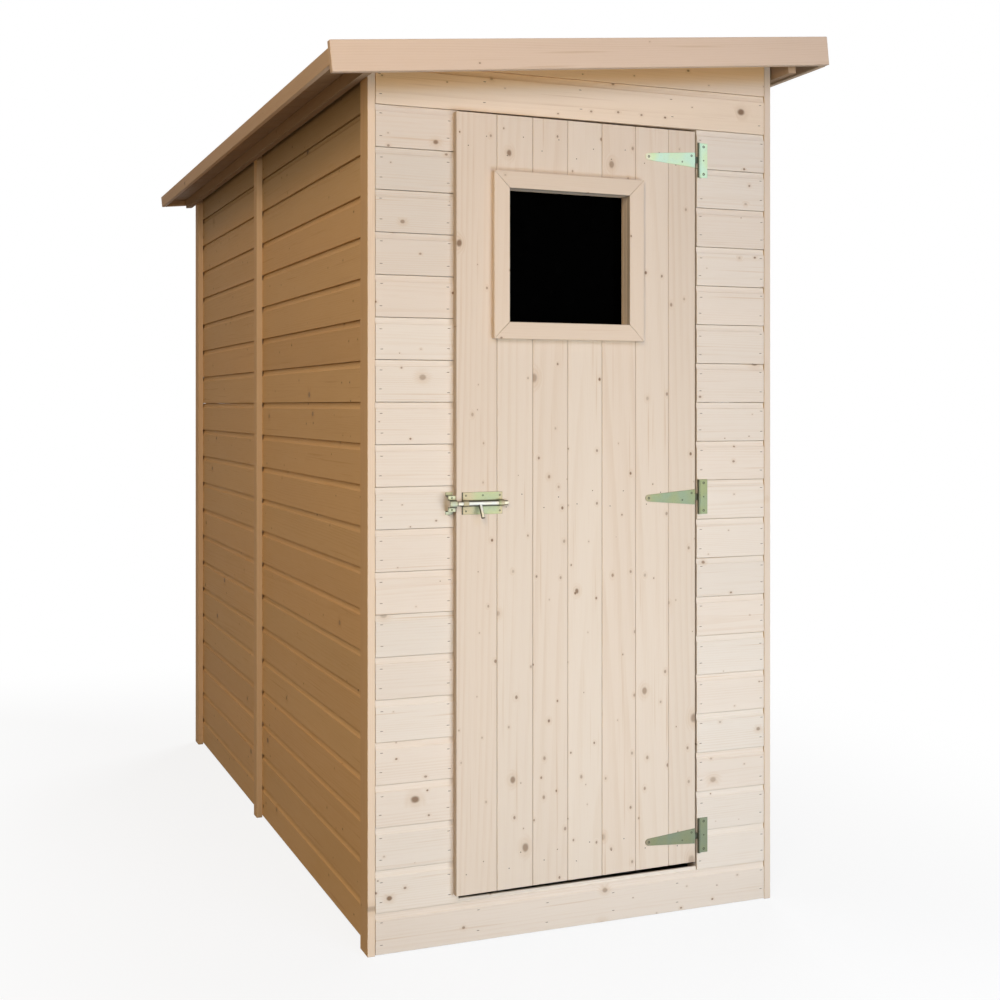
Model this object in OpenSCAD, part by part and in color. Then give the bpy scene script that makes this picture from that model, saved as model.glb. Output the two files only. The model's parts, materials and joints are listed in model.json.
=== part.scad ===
// Narrow pent-roof tool shed: shiplap wall panels on batten frames,
// covered by side strips, under a boarded roof that rises to the right.
// A boarded door with a small fixed window hangs on three T hinges.
// Millimetres. +X right, +Y towards the back wall, +Z up.
// The origin is on the ground below the middle of the roof.

/* [Walls] */
// Width over the two side strips
shed_w = 965; // [900:5:1400]
// Depth over the front and back boards
shed_d = 2046; // [1800:2:3000]
// Visible height of one wall board
board_pitch = 88; // [80:1:100]
// Thickness of wall, door and roof boards
board_t = 16; // [14:1:20]
// Height of the scooped edge at the top of each board
scoop_h = 14; // [8:1:20]
// Depth of the scooped edge
scoop_d = 5; // [3:0.5:7]
// Gap between the ground and the side boards
side_lift = 6; // [3:1:20]
// Gap between the ground and the front and back boards
front_lift = 2; // [1:0.5:10]
// Gap at the ends of boards beside a strip
board_gap = 1; // [0.5:0.5:2]

/* [Frame battens] */
// Depth of the wall battens, inwards
batten_d = 28; // [20:1:45]
// Width of the wall battens
batten_w = 40; // [30:1:60]

/* [Strips] */
// Thickness of the strips on the side walls
strip_t = 16; // [12:1:20]
// Width of the corner strips
corner_strip_w = 54; // [40:1:70]
// Width of the strip over each panel joint
joint_strip_w = 36; // [28:1:50]
// Length of the front panel of each side wall
front_panel_d = 1092; // [900:2:1300]

/* [Roof] */
// Slope of the roof, rising to the right
roof_slope = 5.72; // [3:0.1:9]
// Height of the fascia's middle over the doorway's head
roof_rise = 127; // [120:1:240]
// Length of the front fascia along the slope
fascia_len = 1172; // [1130:1:1700]
// Height of the front fascia
fascia_h = 64; // [50:1:90]
// Height of the fascia above the roof boards
fascia_upstand = 13; // [0:1:15]
// Depth of the V joints between roof boards
roof_v = 2; // [1:0.5:4]
// Overhang of the roof at the front and back
roof_over_y = 84; // [60:1:150]
// Thickness of the fascias and the verge board
fascia_t = 16; // [12:1:20]
// Height of the low eaves strip and the back fascia
eaves_h = 34; // [24:1:40]
// Thickness of the eaves strip
eaves_t = 12; // [10:1:16]
// Height of the board on the high side
verge_h = 52; // [40:1:60]
// Width of the roof bearers outside the walls
bearer_w = 20; // [15:1:30]
// Height of the bearer on the low side
bearer_low_h = 28; // [20:1:40]
// Height of the bearer on the high side
bearer_high_h = 50; // [30:1:60]
// Width of the purlin under the middle of the roof
purlin_w = 28; // [20:1:40]
// Height of the purlin
purlin_h = 54; // [40:1:80]

/* [Door] */
// Left edge of the doorway, from the shed's left side
opening_left = 199; // [180:1:260]
// Width of the doorway
opening_w = 573; // [540:1:640]
// Number of boards below the underside of the doorway's head
head_boards = 20; // [19:1:20]
// Overlap of the door over the boards at the bolt side
door_lap = 11; // [8:1:20]
// Gap between the door and the doorway at the hinges
hinge_gap = 5; // [5:0.5:8]
// Gap above the door
head_gap = 6; // [5:1:10]
// Gap below the door
foot_gap = 12; // [5:1:14]
// Gap between the closed door and the boards it rests on
rest_gap = 0.3; // [0.2:0.1:1]
// Width of one whole door board
door_board_w = 83.5; // [75:0.5:95]
// Width of the door's first board, at the bolt side
first_board_w = 93; // [85:1:100]
// Depth of the V groove between door boards
v_groove = 1.5; // [1:0.5:4]
// Height of the ledges behind the door
ledge_h = 70; // [50:1:90]
// Thickness of the ledges
ledge_t = 20; // [16:1:26]
// Width of the door's brace
brace_w = 60; // [45:1:80]
// Gap between the ledges and the sides of the doorway
ledge_gap = 14; // [10:1:30]

/* [Window] */
// Width of the window opening
window_w = 288; // [200:1:320]
// Height of the window opening
window_h = 284; // [200:1:320]
// Distance from the door's edge at the bolt to the window opening
window_inset = 117; // [100:1:130]
// Distance from the top of the door to the window opening
window_drop = 156; // [130:1:400]
// Width of the window mouldings
moulding_w = 36; // [28:1:38]
// Thickness of the mouldings on the outside
moulding_t = 14; // [10:1:18]
// Thickness of the mouldings on the inside
inner_moulding_t = 20; // [18:1:26]
// Thickness of the pane
pane_t = 4; // [3:1:6]

/* [Hinges] */
// Distance from the foot of the door to the middle of the lowest hinge
hinge_foot = 59; // [55:1:200]
// Distance from the top of the door to the middle of the highest hinge
hinge_head = 64; // [55:1:80]
// Length of the hinge straps, from the door's edge
strap_len = 128; // [100:1:150]
// Height of the strap at the pin
strap_root_h = 34; // [28:1:40]
// Height of the strap at its tip
strap_tip_h = 15; // [12:1:20]
// Height of the knuckle on the strap
strap_knuckle_h = 14; // [10:1:20]
// Height of the plate on the wall
plate_h = 78; // [70:1:100]
// Width of the plate on the wall, with its knuckle
plate_w = 26; // [22:1:34]
// Thickness of the hinge sheet
sheet_t = 2; // [1.5:0.5:3]
// Radius of the hinge knuckle
knuckle_r = 3.5; // [3.5:0.5:5]
// Radius of the hinge pin
pin_r = 2; // [1.5:0.25:2.5]

/* [Bolt] */
// Radius of the bolt bar
bar_r = 5; // [4:0.5:6]
// Length of the bolt bar
bar_len = 115; // [105:1:140]
// Distance from the tip of the drawn bar to the keeper
bar_clear = 1.5; // [1:0.5:5]
// Height of the bolt plate and the keeper
bolt_plate_h = 47; // [44:1:60]
// Length of the bolt plate
bolt_plate_len = 93; // [80:1:110]
// Distance from the door's edge to the bolt plate
bolt_inset = 12; // [10:1:20]
// Thickness of the bolt plate and keeper sheet
bolt_sheet_t = 1.5; // [1:0.5:2]
// Width of the keeper
keeper_w = 16; // [10:1:20]
// Gap between the keeper and the door's edge
keeper_gap = 2.5; // [2:0.5:10]
// Gap around the bar in its guides
guide_gap = 0.5; // [0.3:0.1:1]
// Gap around the bar in the keeper
keeper_clear = 2; // [1.5:0.1:2.5]

/* [Hidden] */
$fn = 48;
PINE = [0.87, 0.78, 0.67];
SHADE_PINE = [0.78, 0.66, 0.52];
ZINC = [0.66, 0.76, 0.60];
DARK = [0.03, 0.03, 0.03];

half_w = shed_w / 2;
half_d = shed_d / 2;
far = 4 * shed_d;                            // larger than the whole shed
wall_x = half_w - strip_t;                   // outer face of the side boards
frame_x = wall_x - board_t;                  // inner face of the side boards
frame_y = half_d - board_t;                  // inner face of the front and back boards
front_x = wall_x - board_gap;                // ends of the front and back boards
joint_y = -half_d + front_panel_d;           // joint between a side wall's two panels
head_z = head_boards * board_pitch;          // underside of the doorway's head
roof_mid_z = head_z + roof_rise;             // middle of the fascia, over the shed's middle
door_x0 = -half_w + opening_left;            // left side of the doorway
door_x1 = door_x0 + opening_w;               // right side of the doorway
brace_gap = 0.3;                             // gap between the brace and its ledges
tongue_h = 7;                                // tongue that stands in the doorway's sill
tongue_t = 6;
sill_z = board_pitch + tongue_h;             // top of the sill
pin_gap = 0.08;                              // running gap at the hinge pins

over_roof = roof_mid_z + shed_w;             // higher than the whole roof

// Roof, in its own frame: the middle of the front fascia is the origin
deck_top = fascia_h / 2 - fascia_upstand;
deck_bottom = deck_top - board_t;
roof_u0 = -fascia_len / 2;
roof_u1 = fascia_len / 2;
roof_y0 = -half_d - roof_over_y;
roof_y1 = half_d + roof_over_y;

// Door, in the frame of the doorway: the leaf is drawn flush with the wall face and is
// then turned about the hinge pins until its back rests on the boards at the bolt side
leaf_x0 = door_x0 - door_lap;
leaf_x1 = door_x1 - hinge_gap;
leaf_z0 = sill_z + foot_gap;
leaf_z1 = head_z - head_gap;
pin_x = door_x1 + knuckle_r;
pin_y = -half_d - knuckle_r;
rest_angle = asin((board_t + rest_gap) / (pin_x - door_x0));
leaf_face = -half_d;
leaf_back = leaf_face + board_t;
mitre_gap = 0.15;                            // half the gap at a mitre
window_x0 = leaf_x0 + window_inset;
window_x1 = window_x0 + window_w;
window_z1 = leaf_z1 - window_drop;
window_z0 = window_z1 - window_h;
window_z = (window_z0 + window_z1) / 2;
pane_y = leaf_back + inner_moulding_t / 2;   // front of the pane
door_mid_z = (leaf_z0 + leaf_z1) / 2;
hinge_z = [leaf_z0 + hinge_foot, door_mid_z, leaf_z1 - hinge_head];
bolt_z = door_mid_z;
bar_y = leaf_face - bolt_sheet_t - 2 * guide_gap - bar_r;
keeper_x1 = leaf_x0 - keeper_gap;
bar_x0 = keeper_x1 + bar_clear;              // tip of the bar when it is just drawn
// Distance from the wall face to the bar's middle, at the keeper
bar_stand = -half_d - pin_y - (keeper_x1 - keeper_w / 2 - pin_x) * sin(rest_angle)
    - (bar_y - pin_y) * cos(rest_angle);
keeper_web = board_t + 2 * bolt_sheet_t;     // distance from the wall face to the keeper's web

// ---- Shared shapes ----

// Outline of shiplap boards seen from their end: x is the depth behind the face and
// y the height. Each board has a scooped upper edge below the lip of the next one.
function scoop(z) = [for (a = [0:30:90]) [scoop_d * sin(a), z - scoop_h * cos(a)]];
module shiplap_outline(z0, z1) {
    first = floor(z0 / board_pitch) + 1;
    last = ceil(z1 / board_pitch) - 1;
    joints = [for (k = [first:last]) if (k * board_pitch - scoop_h > z0) k * board_pitch];
    steps = [for (z = joints) each concat(scoop(z), [[0, z]])];
    polygon(concat([[board_t, z0], [0, z0]], steps, [[0, z1], [board_t, z1]]));
}

// Boards whose face looks to -Y, from x0 to x1
module front_boards(x0, x1, z0, z1) {
    translate([x0, -half_d, 0])
        rotate([90, 0, 90])
            linear_extrude(x1 - x0)
                shiplap_outline(z0, z1);
}

// Boards whose face looks to -X, from y0 to y1
module left_boards(y0, y1, z0, z1) {
    translate([-wall_x, y1, 0])
        rotate([90, 0, 0])
            linear_extrude(y1 - y0)
                shiplap_outline(z0, z1);
}

module box_between(low, high) {
    translate(low) cube(high - low);
}

module in_roof_frame() {
    translate([0, 0, roof_mid_z]) rotate([0, -roof_slope, 0]) children();
}

// What lies below the roof boards
module under_roof() {
    difference() {
        children();
        in_roof_frame() translate([-far / 2, -far / 2, deck_bottom]) cube([far, far, far]);
    }
}

module turned_door(angle) {
    translate([pin_x, pin_y, 0])
        rotate([0, 0, angle])
            translate([-pin_x, -pin_y, 0])
                children();
}

module at_door() {
    turned_door(rest_angle) children();
}

// ---- Wall boards ----

module front_boards_left() {
    color(PINE) front_boards(-front_x, door_x0, board_pitch, head_z);
}

module front_boards_right() {
    color(PINE) front_boards(door_x1, front_x, board_pitch, head_z);
}

module front_boards_top() {
    color(PINE) under_roof() front_boards(-front_x, front_x, head_z, head_z + 3 * board_pitch);
}

module front_boards_sill() {
    color(PINE) {
        front_boards(-front_x, front_x, front_lift, board_pitch);
        box_between([door_x0, -half_d + (board_t - tongue_t) / 2, board_pitch],
                    [door_x1, -half_d + (board_t + tongue_t) / 2, sill_z]);
    }
}

module side_panel(y0, y1) {
    under_roof() left_boards(y0, y1, side_lift, head_z + 3 * board_pitch);
}

module right_panel(y0, y1) {
    under_roof() mirror([1, 0, 0]) left_boards(y0, y1, side_lift, head_z + 3 * board_pitch);
}

side_y0 = -frame_y + board_gap;
side_y1 = frame_y - board_gap;

module left_boards_front() {
    color(PINE) side_panel(side_y0, joint_y);
}

module left_boards_back() {
    color(PINE) side_panel(joint_y, side_y1);
}

module right_boards_front() {
    color(PINE) right_panel(side_y0, joint_y);
}

module right_boards_back() {
    color(PINE) right_panel(joint_y, side_y1);
}

module back_boards() {
    color(PINE)
        under_roof()
            mirror([0, 1, 0])
                front_boards(-front_x, front_x, front_lift, head_z + 3 * board_pitch);
}

// ---- Strips on the side walls ----

module side_strip(side, y0, y1) {
    x0 = side < 0 ? -half_w : wall_x;
    color(PINE) under_roof() box_between([x0, y0, 0], [x0 + strip_t, y1, over_roof]);
}

module corner_strip_front_left() {
    side_strip(-1, -half_d, -half_d + corner_strip_w);
}

module corner_strip_front_right() {
    side_strip(1, -half_d, -half_d + corner_strip_w);
}

module corner_strip_back_left() {
    side_strip(-1, half_d - corner_strip_w, half_d);
}

module corner_strip_back_right() {
    side_strip(1, half_d - corner_strip_w, half_d);
}

module joint_strip_left() {
    side_strip(-1, joint_y - joint_strip_w / 2, joint_y + joint_strip_w / 2);
}

module joint_strip_right() {
    side_strip(1, joint_y - joint_strip_w / 2, joint_y + joint_strip_w / 2);
}

// ---- Batten frames ----

front_stud_x = [-frame_x, door_x0 - batten_w, door_x1, frame_x - batten_w];
back_stud_x = [-frame_x, -batten_w / 2, frame_x - batten_w];
frame_y1 = frame_y - batten_d;               // inner face of the front and back frames
side_stud_y = [-frame_y1, joint_y - batten_w, joint_y, frame_y1 - batten_w];

module end_wall_stud(x, y) {
    under_roof() translate([x, y, 0]) cube([batten_w, batten_d, over_roof]);
}

// Rails between neighbouring studs, at the foot and under the roof
module end_wall_rails(studs, y) {
    for (i = [0:len(studs) - 2]) {
        x0 = studs[i] + batten_w;
        x1 = studs[i + 1];
        box_between([x0, y, 0], [x1, y + batten_d, batten_w]);
        intersection() {
            box_between([x0, y, batten_w * 2], [x1, y + batten_d, over_roof]);
            in_roof_frame()
                translate([-far / 2, -far / 2, deck_bottom - batten_w])
                    cube([far, far, batten_w]);
        }
    }
}

module front_studs() {
    color(SHADE_PINE) for (x = front_stud_x) end_wall_stud(x, -frame_y);
}

module front_rails() {
    color(SHADE_PINE) {
        end_wall_rails(front_stud_x, -frame_y);
        box_between([door_x0, -frame_y, head_z], [door_x1, -frame_y1, head_z + batten_w]);
    }
}

module back_studs() {
    color(SHADE_PINE) for (x = back_stud_x) end_wall_stud(x, frame_y1);
}

module back_rails() {
    color(SHADE_PINE) end_wall_rails(back_stud_x, frame_y1);
}

module side_studs() {
    color(SHADE_PINE)
        for (side = [-1, 1], y = side_stud_y)
            under_roof()
                translate([side < 0 ? -frame_x : frame_x - batten_d, y, 0])
                    cube([batten_d, batten_w, over_roof]);
}

// Rails between the studs of each panel: foot, middle and under the roof
module side_rails() {
    color(SHADE_PINE)
        for (side = [-1, 1], i = [0, 2]) {
            x0 = side < 0 ? -frame_x : frame_x - batten_d;
            y0 = side_stud_y[i] + batten_w;
            y1 = side_stud_y[i + 1];
            mid_z = head_z / 2;
            for (z = [0, mid_z]) box_between([x0, y0, z], [x0 + batten_d, y1, z + batten_w]);
            intersection() {
                box_between([x0, y0, head_z / 2], [x0 + batten_d, y1, over_roof]);
                in_roof_frame()
                    translate([-far / 2, -far / 2, deck_bottom - batten_w])
                        cube([far, far, batten_w]);
            }
        }
}

// ---- Roof ----

// Boards laid from side to side, with a V joint on both faces between each two
module roof_boards() {
    y0 = roof_y0 + fascia_t;
    y1 = roof_y1 - fascia_t;
    joints = [for (k = [1:floor((y1 - y0) / board_pitch)]) y0 + k * board_pitch];
    top = [for (y = joints) each [[y - roof_v, deck_top], [y, deck_top - roof_v],
                                  [y + roof_v, deck_top]]];
    under = [for (i = [len(joints) - 1:-1:0])
        each [[joints[i] + roof_v, deck_bottom], [joints[i], deck_bottom + roof_v],
              [joints[i] - roof_v, deck_bottom]]];
    color(PINE)
        in_roof_frame()
            translate([roof_u0 + eaves_t, 0, 0])
                rotate([90, 0, 90])
                    linear_extrude(roof_u1 - fascia_t - roof_u0 - eaves_t)
                        polygon(concat([[y0, deck_bottom], [y0, deck_top]], top,
                                       [[y1, deck_top], [y1, deck_bottom]], under));
}

module roof_purlin() {
    purlin_y = frame_y1 - 0.3;
    color(SHADE_PINE)
        in_roof_frame()
            box_between([-purlin_w / 2, -purlin_y, deck_bottom - purlin_h],
                        [purlin_w / 2, purlin_y, deck_bottom]);
}

// The bearers lie outside the strips and hold the roof in place on the walls
module roof_bearers() {
    seat = half_w + 0.3;
    low_u = (seat + (bearer_low_h - deck_bottom) * sin(roof_slope)) / cos(roof_slope);
    high_u = (seat + deck_bottom * sin(roof_slope)) / cos(roof_slope);
    color(SHADE_PINE)
        in_roof_frame() {
            box_between([-low_u - bearer_w, roof_y0 + fascia_t, deck_bottom - bearer_low_h],
                        [-low_u, roof_y1 - fascia_t, deck_bottom]);
            box_between([high_u, roof_y0 + fascia_t, deck_bottom - bearer_high_h],
                        [high_u + bearer_w, roof_y1 - fascia_t, deck_bottom]);
        }
}

module fascia_front() {
    color(PINE)
        in_roof_frame()
            box_between([roof_u0, roof_y0, -fascia_h / 2],
                        [roof_u1, roof_y0 + fascia_t, fascia_h / 2]);
}

module fascia_back() {
    color(PINE)
        in_roof_frame()
            box_between([roof_u0 + eaves_t, roof_y1 - fascia_t, deck_top - eaves_h],
                        [roof_u1 - fascia_t, roof_y1, deck_top]);
}

module eaves_strip() {
    color(PINE)
        in_roof_frame()
            box_between([roof_u0, roof_y0 + fascia_t, deck_top - eaves_h],
                        [roof_u0 + eaves_t, roof_y1, deck_top]);
}

module verge_board() {
    color(PINE)
        in_roof_frame()
            box_between([roof_u1 - fascia_t, roof_y0 + fascia_t, deck_top - verge_h],
                        [roof_u1, roof_y1, deck_top]);
}

// ---- Door ----

board_edges = [
    leaf_x0,
    each [for (i = [0:5]) leaf_x0 + first_board_w + i * door_board_w],
    leaf_x1
];

// One upright board of the door, with chamfers that make a V groove with the next one
module door_board(i) {
    x0 = board_edges[i - 1];
    x1 = board_edges[i];
    v0 = i == 1 ? 0 : v_groove;
    v1 = i == 7 ? 0 : v_groove;
    color(PINE)
        at_door()
            difference() {
                translate([0, 0, leaf_z0])
                    linear_extrude(leaf_z1 - leaf_z0)
                        polygon([[x0, leaf_face + v0], [x0 + v0, leaf_face],
                                 [x1 - v1, leaf_face], [x1, leaf_face + v1],
                                 [x1, leaf_back], [x0, leaf_back]]);
                box_between([window_x0, leaf_face - 1, window_z0],
                            [window_x1, leaf_back + 1, window_z1]);
            }
}

// A ledge behind each hinge, and a brace that rises from the lowest hinge
module door_ledges() {
    x0 = door_x0 + ledge_gap;
    x1 = door_x1 - ledge_gap;
    z0 = hinge_z[0] + ledge_h / 2;
    z1 = hinge_z[1] - ledge_h / 2;
    foot_w = brace_w / cos(atan((x1 - x0 - brace_w) / (z1 - z0)));
    color(SHADE_PINE)
        at_door() {
            for (z = hinge_z)
                box_between([x0, leaf_back, z - ledge_h / 2],
                            [x1, leaf_back + ledge_t, z + ledge_h / 2]);
            translate([0, leaf_back + ledge_t, 0])
                rotate([90, 0, 0])
                    linear_extrude(ledge_t)
                        polygon([[x1 - foot_w, z0 + brace_gap], [x1, z0 + brace_gap],
                                 [x0 + foot_w, z1 - brace_gap], [x0, z1 - brace_gap]]);
        }
}

// One length of moulding with a mitre at each end. It is drawn from the left to the
// right of an opening of that length, with its inner edge along the X axis
module mitred_length(length, width, y0, y1) {
    translate([0, y1, 0])
        rotate([90, 0, 0])
            linear_extrude(y1 - y0)
                polygon([[mitre_gap, 0], [length - mitre_gap, 0],
                         [length + width - mitre_gap, -width], [mitre_gap - width, -width]]);
}

// Four mitred lengths around the window opening, from the depth y0 to y1
module window_moulding(y0, y1) {
    mid_x = (window_x0 + window_x1) / 2;
    for (turn = [0:3]) {
        across = turn % 2 == 0 ? window_w : window_h;
        away = turn % 2 == 0 ? window_h : window_w;
        translate([mid_x, 0, window_z])
            rotate([0, 90 * turn, 0])
                translate([-across / 2, 0, -away / 2])
                    mitred_length(across, moulding_w, y0, y1);
    }
}

module window_frame() {
    color(PINE) at_door() window_moulding(leaf_face - moulding_t, leaf_face);
}

pane_lap = 8;                                // how far the pane sits in its groove

module pane_block(grow) {
    box_between([window_x0 - pane_lap - grow, pane_y - grow, window_z0 - pane_lap - grow],
                [window_x1 + pane_lap + grow, pane_y + pane_t + grow, window_z1 + pane_lap + grow]);
}

module window_frame_inside() {
    color(SHADE_PINE)
        at_door()
            difference() {
                window_moulding(leaf_back, leaf_back + inner_moulding_t);
                pane_block(0);
            }
}

module window_pane() {
    color(DARK) at_door() pane_block(0);
}

// ---- Hinges ----

// Strap with its knuckle, drawn around the pin at the height z
module hinge_strap(z) {
    root_x = leaf_x1 - 1;
    tip_x = leaf_x1 - strap_len + strap_tip_h / 2;
    translate([0, leaf_face, z])
        rotate([90, 0, 0])
            linear_extrude(sheet_t) {
                polygon([[root_x, strap_root_h / 2], [tip_x, strap_tip_h / 2],
                         [tip_x, -strap_tip_h / 2], [root_x, -strap_root_h / 2]]);
                translate([tip_x, 0]) circle(d = strap_tip_h);
                translate([root_x - 1, -strap_knuckle_h / 2])
                    square([pin_x - root_x + 1, strap_knuckle_h]);
            }
    translate([pin_x, pin_y, z - strap_knuckle_h / 2]) cylinder(r = knuckle_r, h = strap_knuckle_h);
}

module hinge_straps() {
    color(ZINC)
        at_door()
            for (z = hinge_z)
                difference() {
                    hinge_strap(z);
                    translate([pin_x, pin_y, z - plate_h]) cylinder(r = pin_r + pin_gap, h = 2 * plate_h);
                }
}

// Plate on the wall with its two knuckles and the pin
module hinge_plate(z) {
    gap_h = strap_knuckle_h + 1;
    difference() {
        union() {
            box_between([pin_x, leaf_face - sheet_t, z - plate_h / 2],
                        [door_x1 + plate_w, leaf_face, z + plate_h / 2]);
            translate([pin_x, pin_y, z - plate_h / 2]) cylinder(r = knuckle_r, h = plate_h);
        }
        box_between([pin_x - 2 * knuckle_r, leaf_face - 3 * knuckle_r, z - gap_h / 2],
                    [pin_x + knuckle_r + 1.5, leaf_face + 1, z + gap_h / 2]);
    }
    translate([pin_x, pin_y, z - plate_h / 2]) cylinder(r = pin_r, h = plate_h);
}

module hinge_plates() {
    color(ZINC) for (z = hinge_z) hinge_plate(z);
}

// ---- Barrel bolt ----

bolt_plate_x0 = leaf_x0 + bolt_inset;
guide_w = 12;

// A saddle over the bar, in the door's frame
module bar_guide(x) {
    outer = bar_r + guide_gap + bolt_sheet_t;
    leg = outer - 0.3;
    translate([x, 0, bolt_z])
        rotate([90, 0, 90])
            linear_extrude(guide_w)
                difference() {
                    union() {
                        translate([bar_y, 0]) circle(r = outer);
                        translate([bar_y, -leg]) square([leaf_face - bar_y - bolt_sheet_t / 2, 2 * leg]);
                    }
                    translate([bar_y, 0]) circle(r = bar_r + guide_gap);
                }
}

module bolt_plate() {
    color(ZINC)
        at_door() {
            box_between([bolt_plate_x0, leaf_face - bolt_sheet_t, bolt_z - bolt_plate_h / 2],
                        [bolt_plate_x0 + bolt_plate_len, leaf_face, bolt_z + bolt_plate_h / 2]);
            bar_guide(bolt_plate_x0);
            bar_guide(bolt_plate_x0 + bolt_plate_len - guide_w);
        }
}

knob_len = 34;
tip_bevel = 1.5;
knob_r = 4;
knob_x = 52;                                 // from the tip of the bar to the knob

// The bar drawn just clear of its keeper, with its knob
module bolt_bar() {
    color(ZINC)
        at_door()
            translate([bar_x0, bar_y, bolt_z]) {
                rotate([0, 90, 0]) {
                    cylinder(r1 = bar_r - tip_bevel, r2 = bar_r, h = tip_bevel);
                    translate([0, 0, tip_bevel]) cylinder(r = bar_r, h = bar_len - tip_bevel);
                }
                translate([knob_x, 0, 0])
                    rotate([150, 0, 0])
                        cylinder(r = knob_r, h = knob_len);
            }
}

// Sheet keeper on the wall: feet, legs, a web level with the bolt plate and an arch
// over the bar
module bolt_keeper() {
    t = bolt_sheet_t;
    r_in = bar_r + keeper_clear;
    foot = 8;
    leg_z = bolt_plate_h / 2 - foot;
    color(ZINC)
        translate([keeper_x1 - keeper_w, -half_d, bolt_z])
            rotate([90, 0, 90])
                linear_extrude(keeper_w)
                    union() {
                        for (s = [0, 1])
                            mirror([0, s]) {
                                translate([-t, leg_z]) square([t, foot]);
                                translate([-keeper_web, leg_z]) square([keeper_web, t]);
                                translate([-keeper_web, r_in]) square([t, leg_z - r_in + t]);
                                translate([-bar_stand, r_in]) square([bar_stand - keeper_web + t, t]);
                            }
                        difference() {
                            translate([-bar_stand, 0]) circle(r = r_in + t);
                            translate([-bar_stand, 0]) circle(r = r_in);
                            translate([-bar_stand, -2 * r_in]) square([2 * r_in, 4 * r_in]);
                        }
                    }
}

// ---- Nodes ----

front_boards_left();
front_boards_right();
front_boards_top();
front_boards_sill();
left_boards_front();
left_boards_back();
right_boards_front();
right_boards_back();
back_boards();
corner_strip_front_left();
corner_strip_front_right();
corner_strip_back_left();
corner_strip_back_right();
joint_strip_left();
joint_strip_right();
front_studs();
front_rails();
side_studs();
side_rails();
back_studs();
back_rails();
roof_boards();
roof_purlin();
roof_bearers();
fascia_front();
fascia_back();
eaves_strip();
verge_board();
hinge_plates();
bolt_keeper();
door_board(1);  // door_board_1
door_board(2);  // door_board_2
door_board(3);  // door_board_3
door_board(4);  // door_board_4
door_board(5);  // door_board_5
door_board(6);  // door_board_6
door_board(7);  // door_board_7
door_ledges();
window_frame();
window_frame_inside();
window_pane();
hinge_straps();
bolt_plate();
bolt_bar();
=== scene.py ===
"""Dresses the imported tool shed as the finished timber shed.

Every size is in metres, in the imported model's own frame: +X to the right of the
door, +Y to the back wall, +Z up, with the ground at zero. The boards, battens,
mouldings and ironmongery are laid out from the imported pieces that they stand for.
"""
import functools
import json
import math
import random
from typing import NamedTuple

import bmesh
import bpy
from bpy.props import FloatProperty, FloatVectorProperty, IntProperty, PointerProperty
from bpy.types import Operator, Panel, PropertyGroup
from mathutils import Matrix, Vector


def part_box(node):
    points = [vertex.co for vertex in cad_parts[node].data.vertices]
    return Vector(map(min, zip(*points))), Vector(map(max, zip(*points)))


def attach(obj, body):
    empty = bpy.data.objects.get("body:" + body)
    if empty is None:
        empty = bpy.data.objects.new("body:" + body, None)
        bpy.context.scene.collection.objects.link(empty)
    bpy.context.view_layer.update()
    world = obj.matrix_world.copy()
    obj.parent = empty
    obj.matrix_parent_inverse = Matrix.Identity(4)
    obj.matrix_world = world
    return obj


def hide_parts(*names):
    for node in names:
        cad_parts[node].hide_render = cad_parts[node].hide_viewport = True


bl_info = {
    "name": "Tool Shed",
    "version": (1, 0, 0),
    "blender": (4, 5, 0),
    "location": "View3D > Sidebar > Tool Shed",
    "description": "Builds the boards, door, ironmongery and stage of a narrow tool shed",
    "category": "Object",
}

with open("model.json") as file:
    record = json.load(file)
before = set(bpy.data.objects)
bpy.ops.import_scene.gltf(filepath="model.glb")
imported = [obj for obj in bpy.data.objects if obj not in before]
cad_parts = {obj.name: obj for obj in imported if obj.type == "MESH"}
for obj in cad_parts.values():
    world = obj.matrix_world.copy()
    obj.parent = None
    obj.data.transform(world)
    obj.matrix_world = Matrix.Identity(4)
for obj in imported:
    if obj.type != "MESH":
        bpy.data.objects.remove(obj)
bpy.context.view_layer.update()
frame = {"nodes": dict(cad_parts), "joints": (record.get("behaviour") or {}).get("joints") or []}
NODES = frame["nodes"]
JOINTS = {joint["name"]: joint for joint in frame["joints"]}

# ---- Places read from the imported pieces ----

def fascia_slope():
    """How steeply the roof rises to the right, by the foot of the front fascia."""
    corners = [v.co for v in NODES["fascia_front"].data.vertices]
    left, right = min(corners, key=lambda co: co.z), max(corners, key=lambda co: co.x)
    return math.atan2(right.z - left.z, right.x - left.x)


FRONT_LOW, FRONT_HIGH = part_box("front_boards_left")
FRONT_RIGHT_LOW, FRONT_RIGHT_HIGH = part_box("front_boards_right")
TOP_LOW, TOP_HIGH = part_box("front_boards_top")
FASCIA_LOW, FASCIA_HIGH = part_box("fascia_front")
WALL_Y = FRONT_LOW.y                            # face of the front boards
WALL_X = -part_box("left_boards_front")[0].x      # face of the side boards
DOOR_BOARDS = [f"door_board_{number}" for number in range(1, 8)]
DOOR_EDGE_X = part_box(DOOR_BOARDS[-1])[1].x      # edge of the door at its hinges
PIN = Vector(JOINTS["door_swing"]["pos_m"])
# The closed door leans out by a small angle on the boards at its bolt side
BOLT_WAY = JOINTS["bolt_slide"]["axis"]
DOOR_TURN = (Matrix.Translation(PIN)
             @ Matrix.Rotation(math.atan2(-BOLT_WAY[1], -BOLT_WAY[0]), 4, "Z")
             @ Matrix.Translation(-PIN))
ROOF_SLOPE = fascia_slope()
ROOF_TURN = (Matrix.Translation((0, 0, (FASCIA_LOW.z + FASCIA_HIGH.z) / 2))
             @ Matrix.Rotation(-ROOF_SLOPE, 4, "Y"))
# Foot of the fascia, measured square to the roof
FASCIA_FOOT = min(v.co.z * math.cos(ROOF_SLOPE) - v.co.x * math.sin(ROOF_SLOPE)
                  for v in NODES["fascia_front"].data.vertices)

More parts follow.
